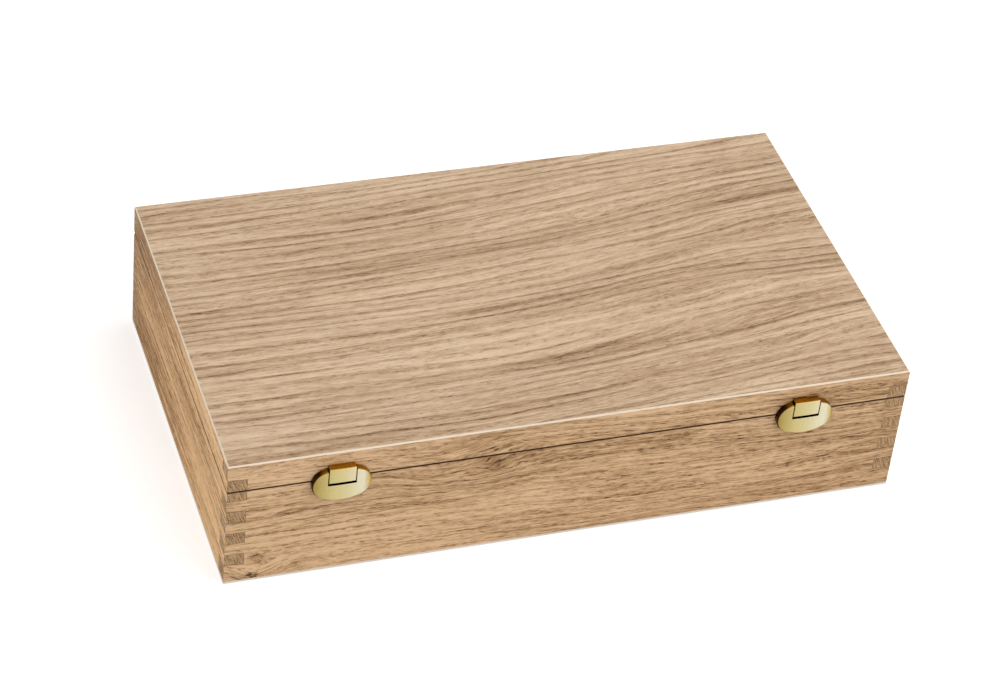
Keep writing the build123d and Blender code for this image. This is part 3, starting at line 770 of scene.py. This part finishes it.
def clasp_brass(side):
    """Pressed brass of one clasp, with painted reflections, as soft bands across its face and as dark and
    golden walls by the way they face, and a painted shadow in the notch.
    """
    brass = bpy.context.scene.brass_settings
    low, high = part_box(f"{side}_clasp_lever")
    tongue_low, tongue_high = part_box(f"{side}_strike")
    metal = Finish(f"{side} clasp brass", Metallic=1.0)
    mottle = polish(metal, brass.roughness)
    parts = metal.split(metal.place)
    across = metal.share(metal.less(parts[0], low.x), high.x - low.x)
    # Painted reflection: the face's colour runs through soft bands from left to right
    face = metal.ramp(metal.total(across, metal.times(mottle, 0.03)), *colour_stops(CLASP_REFLECTION_BANDS))
    facing = metal.normal
    # Painted reflections on the walls, by the way they face
    tone = metal.mix(metal.step(facing["X"], *CLASP_RIGHT_REFLECTION), face, brass.right_wall_reflection)
    tone = metal.mix(metal.step(facing["Z"], *CLASP_TOP_REFLECTION), tone, brass.top_wall_reflection)
    tone = metal.mix(metal.step(facing["X"], *CLASP_LEFT_REFLECTION), tone, brass.left_wall_reflection)
    # Painted shadow on the walls in the notch, in the gap round the tongue
    middle = (low.x + high.x) / 2
    half_notch = (tongue_high.x - tongue_low.x) / 2 - NOTCH_SHADOW_MARGIN
    under_top = metal.step(parts[2], *(tongue_high.z - drop for drop in NOTCH_SHADOW_EDGE))
    within = metal.maths("LESS_THAN", metal.size(metal.less(parts[0], middle)), half_notch)
    sideways = metal.step(facing["Y"], *CLASP_GAP_SHADOW)
    tone = metal.mix(metal.times(metal.times(within, under_top), sideways), tone, brass.gap)
    metal.colour(tone)
    return metal


def grid_mesh(name, points, close_around=False, ends=False):
    """A mesh of quads from an array of points, rows by columns.

    close_around joins the last column to the first; ends then closes the first and the last row with
    strips of quads between their two halves.
    """
    rows, columns = points.shape[:2]
    index = np.arange(rows * columns).reshape(rows, columns)
    wide = np.concatenate([index, index[:, :1]], axis=1) if close_around else index
    corners = [wide[:-1, :-1], wide[:-1, 1:], wide[1:, 1:], wide[1:, :-1]]
    quads = np.stack(corners, axis=-1).reshape(-1, 4)
    if ends:
        half = columns // 2
        there = index[:, :half]
        back = index[:, :half - 1:-1]
        strips = np.stack([there[:, :-1], back[:, :-1], back[:, 1:], there[:, 1:]], axis=-1)
        quads = np.concatenate([quads, strips[0, :, ::-1], strips[-1]])
    mesh = bpy.data.meshes.new(name)
    mesh.from_pydata(points.reshape(-1, 3), [], quads.tolist())
    piece = bpy.data.objects.new(name, mesh)
    bpy.context.scene.collection.objects.link(piece)
    return piece


def smooth(piece):
    """Shades a piece smoothly."""
    piece.data.polygons.foreach_set("use_smooth", np.ones(len(piece.data.polygons), bool))


def foam_finish():
    """Fine dark foam with tiny cells."""
    colour = bpy.context.scene.inside_settings.foam
    foam = Finish("dark foam", Roughness=0.95)
    cells = foam.put("ShaderNodeTexVoronoi", Vector=foam.place, Scale=FOAM_CELLS).outputs["Distance"]
    cloud = foam.noise(foam.place, FOAM_CLOUDS, shift=2.0, detail=4.0)
    shade = foam.total(foam.times(cells, 0.5), foam.times(cloud, 0.15), 0.15)
    paler = tuple(2.2 * part for part in colour)
    foam.colour(foam.mix(foam.held(shade), colour, paler))
    foam.bump(cells, FOAM_DEPTH)
    return foam


class PENCILBOX_OT_boards(bpy.types.Operator):
    """Finishes the eight oak boards of the body and the lid"""

    bl_idname = "pencil_box.boards"
    bl_label = "Oak boards"

    def execute(self, context):
        # The case boards carry the joint lines and the painted shadow along the seam
        give(oak("front oak", FRONT, with_joints_and_seam_shadow=True), "front_board", "lid_front_board")
        give(oak("back oak", BACK, with_joints_and_seam_shadow=True), "back_board", "lid_back_board")
        flank = oak("flank oak", FLANK, with_joints_and_seam_shadow=True)
        give(flank, "left_board", "lid_left_board", "right_board", "lid_right_board")
        return {"FINISHED"}


class PENCILBOX_OT_panels(bpy.types.Operator):
    """Finishes the veneered top and the plywood bottom"""

    bl_idname = "pencil_box.panels"
    bl_label = "Top and bottom panels"

    def execute(self, context):
        self.top(context.scene.oak_settings)
        self.bottom()
        return {"FINISHED"}

    def top(self, oak_settings):
        """Oak veneer, with a pale edge all round: bare sanded wood, and a painted highlight on the chamfer.
        """
        wood = oak_finish("top oak")
        darkness, pores = grain(wood, TOP)
        tone = edged_panel(wood.ramp(wood.held(darkness), *tones(TOP)), wood)
        upward = wood.normal["Z"]
        # Pale chamfer by its slant: sanded wood and a painted highlight
        sanded_highlight = wood.times(wood.step(upward, *SANDED_HIGHLIGHT_FROM), wood.step(upward, *SANDED_HIGHLIGHT_TO))
        wood.colour(wood.mix(sanded_highlight, tone, oak_settings.edge))
        carve(wood, darkness, pores)
        give(wood, "top_panel")

    def bottom(self):
        """Birch plywood; the case's bottom panel shows it as a pale line along the lower edge."""
        ply = Finish("birch plywood", Roughness=0.7)
        height = ply.millimetres()["Z"]
        layer = ply.maths("FRACT", height)
        fibre = ply.noise(ply.place, PLY_FIBRES, shift=4.0, detail=4.0)
        shade = ply.total(ply.times(ply.step(layer, *PLY_LINE), 0.3), ply.times(fibre, 0.25), 0.15)
        tone = ply.ramp(ply.held(shade), linear(242, 234, 224), linear(196, 172, 140))
        edge = ply.times(ply.step(height, *PALE_BAND_TOP), ply.step(height, *PANEL_EDGE_TOP))
        ply.colour(ply.mix(edge, tone, edged_panel(tone, ply)))
        ply.bump(fibre, PLY_DEPTH)
        give(ply, "bottom_panel", "lower_tray_bottom", "upper_tray_bottom")


class PENCILBOX_OT_clasps(bpy.types.Operator):
    """Finishes the brass clasps, their pins, springs and rivets"""

    bl_idname = "pencil_box.clasps"
    bl_label = "Brass clasps"

    def execute(self, context):
        brass = context.scene.brass_settings
        plain = plain_metal("plain brass", brass.bright, brass.deep, brass.roughness)
        wire = plain_metal("spring wire", linear(190, 190, 188), linear(130, 130, 130), 0.35)
        for side in SIDES:
            give(clasp_brass(side), f"{side}_clasp_lever", f"{side}_strike")
            give(plain, f"{side}_clasp_base", f"{side}_clasp_pin")
            give(wire, f"{side}_clasp_spring")
        give(plain, "clasp_rivets", "strike_rivets")
        return {"FINISHED"}


class PENCILBOX_OT_hinges(bpy.types.Operator):
    """Finishes the two butt hinges and their screws"""

    bl_idname = "pencil_box.hinges"
    bl_label = "Brass hinges"

    def execute(self, context):
        brass = context.scene.brass_settings
        metal = plain_metal("hinge brass", brass.bright, brass.deep, brass.roughness + 0.06)
        for side in SIDES:
            give(metal, f"{side}_hinge_body_leaf", f"{side}_hinge_lid_leaf", f"{side}_hinge_pin")
        give(metal, "hinge_body_screws", "hinge_lid_screws")
        return {"FINISHED"}


class PENCILBOX_OT_trays(bpy.types.Operator):
    """Finishes the thin boards of the trays"""

    bl_idname = "pencil_box.trays"
    bl_label = "Tray boards"

    def execute(self, context):
        long_wood = oak("tray oak, long", TRAY_LONG)
        short_wood = oak("tray oak, short", TRAY_SHORT)
        for level in LEVELS:
            give(long_wood, f"{level}_tray_front", f"{level}_tray_back", f"{level}_tray_divider")
            give(short_wood, f"{level}_tray_left", f"{level}_tray_right")
        return {"FINISHED"}


class PENCILBOX_OT_foam(bpy.types.Operator):
    """Makes the grooved foam beds and the soft pad in the lid"""

    bl_idname = "pencil_box.foam"
    bl_label = "Foam beds and lid pad"

    def execute(self, context):
        finish = foam_finish()
        for level in LEVELS:
            self.bed(level, finish, context.scene.inside_settings.groove_lip)
        self.cushion(finish)
        return {"FINISHED"}

    def bed(self, level, finish, lip):
        """A foam bed. Its outline across the pencils is a row of half-round grooves: in a groove, the
        pencil's height less the root of the squared radius less the squared distance from its middle;
        between grooves the flat top, which dips at both lips by a square."""
        node = f"{level}_tray_foam"
        low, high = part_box(node)
        pencil_low, pencil_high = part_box(f"{level}_pencils")
        pitch = (pencil_high.x - pencil_low.x - 2 * PENCIL_CORNER) / (PENCILS - 1)
        axis_height = (pencil_low.z + pencil_high.z) / 2
        x = np.linspace(low.x, high.x, PENCILS * BED_PER_PENCIL + 1)
        offset = np.abs(np.mod(x / pitch, 1.0) - 0.5) * pitch
        groove = axis_height - np.sqrt(np.clip(GROOVE_RADIUS**2 - offset**2, 0.0, None))
        dip = LIP_DIP * lip
        flat = high.z - dip * (1 - np.clip((offset - GROOVE_RADIUS) / lip, 0, 1)) ** 2
        top = np.where(offset < GROOVE_RADIUS, np.minimum(groove, high.z - dip), flat)
        ease = 0.5 - 0.5 * np.cos(np.linspace(0, np.pi, BED_ALONG))
        grid_x, grid_y = np.meshgrid(x, low.y + (high.y - low.y) * ease)
        surface = np.stack([grid_x, grid_y, np.broadcast_to(top, grid_x.shape)], axis=-1)
        floor = surface[:, ::-1].copy()
        floor[..., 2] = low.z
        around = np.concatenate([surface, floor], axis=1)
        piece = grid_mesh(f"{level}_foam_bed", around, close_around=True, ends=True)
        piece.data.materials.append(finish.material)
        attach(piece, "case" if level == "lower" else "upper_tray")
        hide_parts(node)

    def cushion(self, finish):
        """The lid's pad: a superellipse outline, whose edge is rounded as a power of a half turn."""
        low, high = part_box("lid_pad")
        middle = (low + high) / 2
        half = (high - low) / 2

        def power(value, exponent):
            """A value raised to an exponent, with its sign kept."""
            return np.sign(value) * np.abs(value) ** exponent

        turns = np.linspace(0, 2 * np.pi, PAD_ROUND + 1)[:-1]
        turn, lift = np.meshgrid(turns, np.linspace(-np.pi / 2, np.pi / 2, PAD_UP))
        radius = power(np.cos(lift), PAD_ROLL)
        x = middle.x + half.x * power(np.cos(turn), PAD_CORNER) * radius
        y = middle.y + half.y * power(np.sin(turn), PAD_CORNER) * radius
        z = middle.z + half.z * power(np.sin(lift), PAD_ROLL)
        piece = grid_mesh("lid_cushion", np.stack([x, y, z], axis=-1), close_around=True)
        smooth(piece)
        piece.data.materials.append(finish.material)
        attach(piece, "lid")
        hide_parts("lid_pad")


class PENCILBOX_OT_ribbons(bpy.types.Operator):
    """Makes the two woven ribbons that lift the upper tray"""

    bl_idname = "pencil_box.ribbons"
    bl_label = "Lifting ribbons"

    def execute(self, context):
        inside = context.scene.inside_settings
        cloth = self.cloth(inside.ribbon)
        for side, sign in zip(SIDES, (-1, 1)):
            self.ribbon(side, sign, cloth, inside)
        return {"FINISHED"}

    def cloth(self, colour):
        """A plain weave: the product of two sine waves, one along each thread direction."""
        cloth = Finish("woven ribbon", Roughness=0.8, Sheen_Weight=0.4)
        parts = cloth.split(cloth.place)
        threads = 2 * math.pi / THREAD
        warp = cloth.maths("SINE", cloth.times(parts[1], threads))
        weft = cloth.maths("SINE", cloth.times(cloth.total(parts[0], parts[2]), threads))
        weave = cloth.times(warp, weft)
        darker = tuple(0.55 * part for part in colour)
        cloth.colour(cloth.mix(cloth.scaled(weave, 0.4, 0.5), darker, colour))
        cloth.bump(weave, WEAVE_DEPTH)
        return cloth

    def ribbon(self, side, sign, cloth, inside):
        """A strip that runs straight up the tray's end board, round a quarter turn and flat inwards."""
        node = f"{side}_lifting_ribbon"
        low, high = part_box(node)
        thickness = inside.ribbon_thickness
        bend = inside.ribbon_bend
        wall = sign * (max(abs(low.x), abs(high.x)) - thickness / 2)
        tip = sign * min(abs(low.x), abs(high.x))
        top = high.z - thickness / 2
        up = np.linspace(low.z, top - bend, RIBBON_UP)
        turn = np.linspace(0, np.pi / 2, RIBBON_ROUND)[1:-1]
        inward = np.linspace(wall - sign * bend, tip, RIBBON_INWARD)
        line_x = np.concatenate([np.full(up.size, wall), wall - sign * bend * (1 - np.cos(turn)), inward])
        line_z = np.concatenate([up, top - bend + bend * np.sin(turn), np.full(inward.size, top)])
        grid_x, grid_y = np.meshgrid(line_x, np.linspace(low.y, high.y, RIBBON_ACROSS))
        grid_z = np.broadcast_to(line_z, grid_x.shape)
        piece = grid_mesh(f"{side}_ribbon", np.stack([grid_x, grid_y, grid_z], axis=-1))
        solid = piece.modifiers.new("thickness", "SOLIDIFY")
        solid.thickness = thickness
        solid.offset = 0.0
        smooth(piece)
        piece.data.materials.append(cloth.material)
        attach(piece, "upper_tray")
        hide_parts(node)


class PENCILBOX_OT_pencils(bpy.types.Operator):
    """Finishes the rows of coloured pencils"""

    bl_idname = "pencil_box.pencils"
    bl_label = "Coloured pencils"

    def execute(self, context):
        for level in LEVELS:
            give(self.lacquer(level), f"{level}_pencils")
        return {"FINISHED"}

    def lacquer(self, level):
        """Lacquer in a new colour for each pencil, bare cedar on its sharpened cone and lead at its tip."""
        low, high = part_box(f"{level}_pencils")
        pitch = (high.x - low.x - 2 * PENCIL_CORNER) / (PENCILS - 1)
        paint = Finish(f"{level} pencils")
        parts = paint.split(paint.place)
        cell = paint.share(parts[0], pitch)
        number = paint.maths("FLOOR", cell)
        side = paint.times(paint.less(paint.maths("FRACT", cell), 0.5), pitch)
        rise = paint.less(parts[2], (low.z + high.z) / 2)
        radius = paint.maths("SQRT", paint.total(paint.times(side, side), paint.times(rise, rise)))
        along = paint.share(paint.less(high.y, parts[1]), PENCIL_CONE)
        cone = paint.scaled(along, PENCIL_CORNER - PENCIL_TIP, PENCIL_TIP)
        near_cone = paint.maths("GREATER_THAN", radius, paint.less(cone, CONE_DEPTH))
        bare = paint.times(paint.maths("LESS_THAN", along, 0.999), near_cone)
        place = paint.maths("FRACT", paint.scaled(number, TRAY_SHARE / PENCILS, MIDDLE_COLOUR[level]))
        hue = paint.ramp(place, *colour_stops(PENCIL_COLOURS))
        fibre = paint.noise(paint.place, CEDAR_FIBRES, shift=3.0, detail=3.0)
        shade = paint.scaled(fibre, 0.5, 0.5, clamp=True)
        cedar = paint.mix(shade, linear(214, 160, 112), linear(180, 120, 78))
        sharpened = paint.mix(paint.maths("LESS_THAN", along, LEAD_SHARE), cedar, hue)
        paint.colour(paint.mix(bare, hue, sharpened))
        paint.set(paint.shader.inputs["Roughness"], paint.scaled(bare, 0.4, 0.25))
        paint.bump(paint.times(fibre, bare), CEDAR_DEPTH)
        return paint


class PENCILBOX_OT_stage(bpy.types.Operator):
    """Sets up the floor, the lamps and the camera"""

    bl_idname = "pencil_box.stage"
    bl_label = "Floor, lamps and camera"

    def execute(self, context):
        stage = context.scene.stage_settings
        self.floor()
        self.sky(stage)
        for name, (place, size) in LAMPS.items():
            self.lamp(f"{name}_lamp", place, size, getattr(stage, f"{name}_power"))
        self.camera(stage)
        context.scene.view_settings.view_transform = "Standard"
        return {"FINISHED"}

    def floor(self):
        """A wide flat sheet, which shows white to the camera and keeps the box's soft shadow."""
        edge = np.linspace(-FLOOR_REACH, FLOOR_REACH, 3)
        x, y = np.meshgrid(edge, edge)
        floor = grid_mesh("floor", np.stack([x, y, np.zeros_like(x)], axis=-1))
        paper = Finish("pale floor", Base_Color=(0.86, 0.86, 0.86), Roughness=0.9, Specular_IOR_Level=0.0)
        seen = paper.put("ShaderNodeLightPath").outputs["Is Camera Ray"]
        glow = paper.put("ShaderNodeEmission", Strength=paper.times(seen, FLOOR_GLOW))
        both = paper.put("ShaderNodeAddShader")
        paper.set(both.inputs[0], paper.shader.outputs[0])
        paper.set(both.inputs[1], glow.outputs[0])
        paper.set(paper.output.inputs["Surface"], both.outputs[0])
        floor.data.materials.append(paper.material)

    def sky(self, stage):
        """An even pale light from all round, white where the camera, metal or glass sees it."""
        world = bpy.data.worlds.new("studio")
        world.use_nodes = True
        bpy.context.scene.world = world
        nodes = world.node_tree.nodes
        links = world.node_tree.links
        background = nodes["Background"]
        background.inputs["Color"].default_value = (1.0, 1.0, 1.0, 1.0)
        path = nodes.new("ShaderNodeLightPath")
        seen = path.outputs["Is Camera Ray"]
        for ray in ("Is Glossy Ray", "Is Transmission Ray"):
            joined = nodes.new("ShaderNodeMath")
            joined.operation = "MAXIMUM"
            links.new(seen, joined.inputs[0])
            links.new(path.outputs[ray], joined.inputs[1])
            seen = joined.outputs[0]
        level = nodes.new("ShaderNodeMapRange")
        links.new(seen, level.inputs["Value"])
        level.inputs["To Min"].default_value = stage.sky
        level.inputs["To Max"].default_value = 1.0
        links.new(level.outputs["Result"], background.inputs["Strength"])

    def lamp(self, name, place, size, power):
        """A square soft lamp aimed at the box."""
        data = bpy.data.lights.new(name, "AREA")
        data.size = size
        data.energy = power
        lamp = bpy.data.objects.new(name, data)
        bpy.context.scene.collection.objects.link(lamp)
        lamp.location = place
        aim = Vector(LAMP_TARGET) - lamp.location
        lamp.rotation_euler = aim.to_track_quat("-Z", "Y").to_euler()

    def camera(self, stage):
        """The camera: a turn about the upright, a rise above the table and a roll about its line of sight."""
        turn, rise, roll = (math.radians(angle) for angle in CAMERA_ANGLES)
        back = Vector((math.sin(turn) * math.cos(rise), -math.cos(turn) * math.cos(rise), math.sin(rise)))
        right = Vector((math.cos(turn), math.sin(turn), 0.0))
        up = back.cross(right)
        tilted_right = math.cos(roll) * right + math.sin(roll) * up
        tilted_up = -math.sin(roll) * right + math.cos(roll) * up
        data = bpy.data.cameras.new("photo_camera")
        data.lens = stage.lens
        data.sensor_width = CAMERA_SENSOR
        data.clip_end = CAMERA_CLIP
        camera = bpy.data.objects.new("photo_camera", data)
        bpy.context.scene.collection.objects.link(camera)
        facing = Matrix((tilted_right, tilted_up, back)).transposed().to_4x4()
        camera.matrix_world = Matrix.Translation(Vector(CAMERA_TARGET) + CAMERA_DISTANCE * back) @ facing
        bpy.context.scene.camera = camera


class PENCILBOX_PT_panel(bpy.types.Panel):
    """Lists the steps that dress the pencil box"""

    bl_idname = "PENCILBOX_PT_panel"
    bl_label = "Pencil box"
    bl_space_type = "VIEW_3D"
    bl_region_type = "UI"
    bl_category = "Pencil box"

    def draw(self, context):
        for settings in SETTINGS:
            group = getattr(context.scene, settings)
            box = self.layout.box()
            for key in group.bl_rna.properties.keys():
                if key not in ("rna_type", "name"):
                    box.prop(group, key)
        for operator in OPERATORS:
            self.layout.operator(operator.bl_idname)


OPERATORS = (
    PENCILBOX_OT_stage,
    PENCILBOX_OT_boards,
    PENCILBOX_OT_panels,
    PENCILBOX_OT_clasps,
    PENCILBOX_OT_hinges,
    PENCILBOX_OT_trays,
    PENCILBOX_OT_foam,
    PENCILBOX_OT_ribbons,
    PENCILBOX_OT_pencils,
)
SETTINGS = {
    "oak_settings": OakSettings,
    "brass_settings": BrassSettings,
    "inside_settings": InsideSettings,
    "stage_settings": StageSettings,
}


def register():
    """Adds the settings, operators and panel."""
    for name, group in SETTINGS.items():
        bpy.utils.register_class(group)
        setattr(bpy.types.Scene, name, bpy.props.PointerProperty(type=group))
    for operator in OPERATORS:
        bpy.utils.register_class(operator)
    bpy.utils.register_class(PENCILBOX_PT_panel)


def unregister():
    """Takes the settings, operators and panel away again."""
    bpy.utils.unregister_class(PENCILBOX_PT_panel)
    for operator in reversed(OPERATORS):
        bpy.utils.unregister_class(operator)
    for name, group in SETTINGS.items():
        delattr(bpy.types.Scene, name)
        bpy.utils.unregister_class(group)


def main():
    """Dresses the whole box."""
    register()
    bpy.ops.pencil_box.stage()
    bpy.ops.pencil_box.boards()
    bpy.ops.pencil_box.panels()
    bpy.ops.pencil_box.clasps()
    bpy.ops.pencil_box.hinges()
    bpy.ops.pencil_box.trays()
    bpy.ops.pencil_box.foam()
    bpy.ops.pencil_box.ribbons()
    bpy.ops.pencil_box.pencils()


if __name__ == "__main__":
    main()
